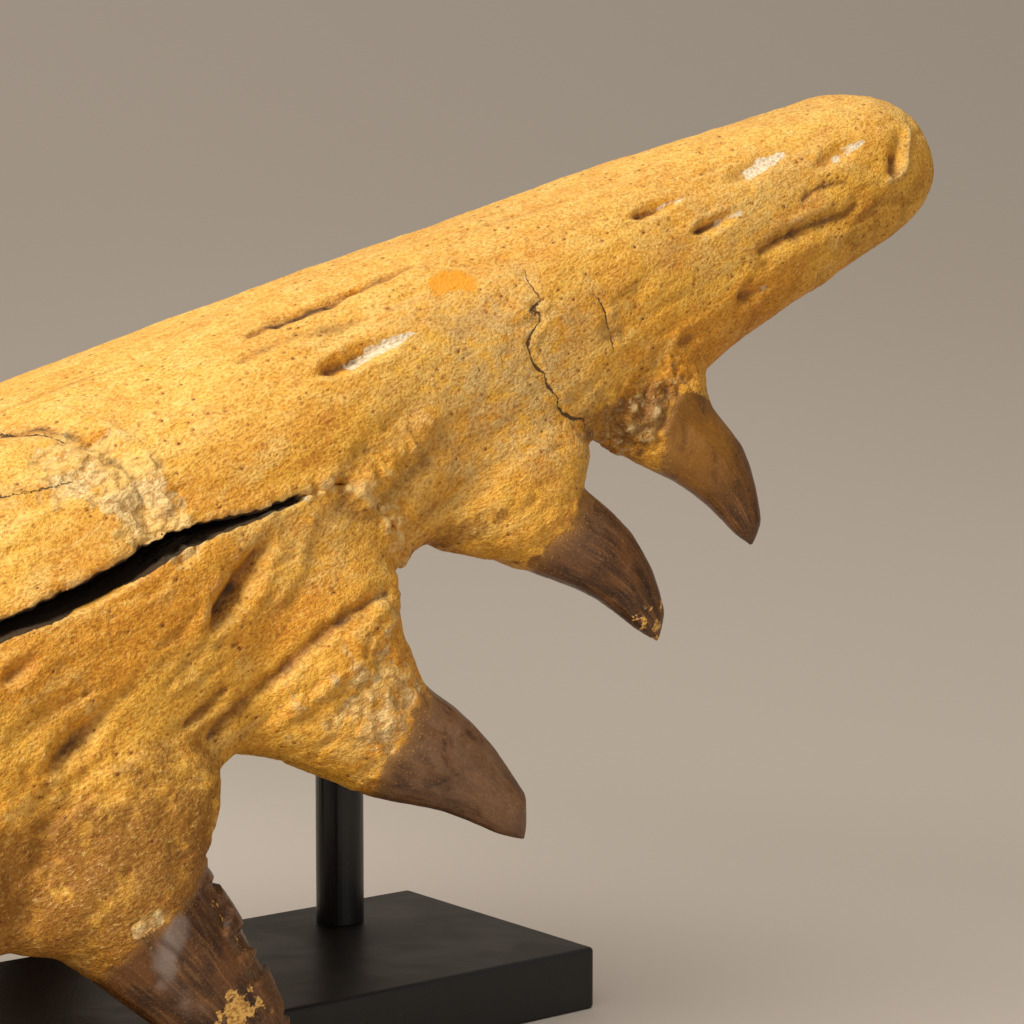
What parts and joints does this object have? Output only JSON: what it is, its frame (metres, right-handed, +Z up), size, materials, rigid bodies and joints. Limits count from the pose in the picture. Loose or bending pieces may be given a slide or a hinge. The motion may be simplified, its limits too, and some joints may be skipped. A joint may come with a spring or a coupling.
{
  "type": "partial fossil mosasaur skull on stand",
  "caption": "Snout end of a fossil mosasaur upper skull with curved teeth and a blunt bony nose, held nose-up by a single round rod on a flat black rectangular plate.",
  "frame": {"origin": "on the floor, under the middle of the whole object's bounding box", "axes": "+Z up, +X the way the snout points as seen from the animal's right side, +Y away from the viewer who sees the right-hand teeth"},
  "size_m": [0.3056, 0.212, 0.2258],
  "materials": {
    "bone": "matte",
    "matrix_bone": "matte",
    "plate_black": "satin",
    "rod_black": "satin"
  },
  "bodies": {
    "root": {"premaxilla": "bone", "maxilla_right": "bone", "maxilla_left": "bone", "palate": "matrix_bone", "mount_base": "plate_black", "mount_rod": "rod_black"}
  },
  "joints": []
}
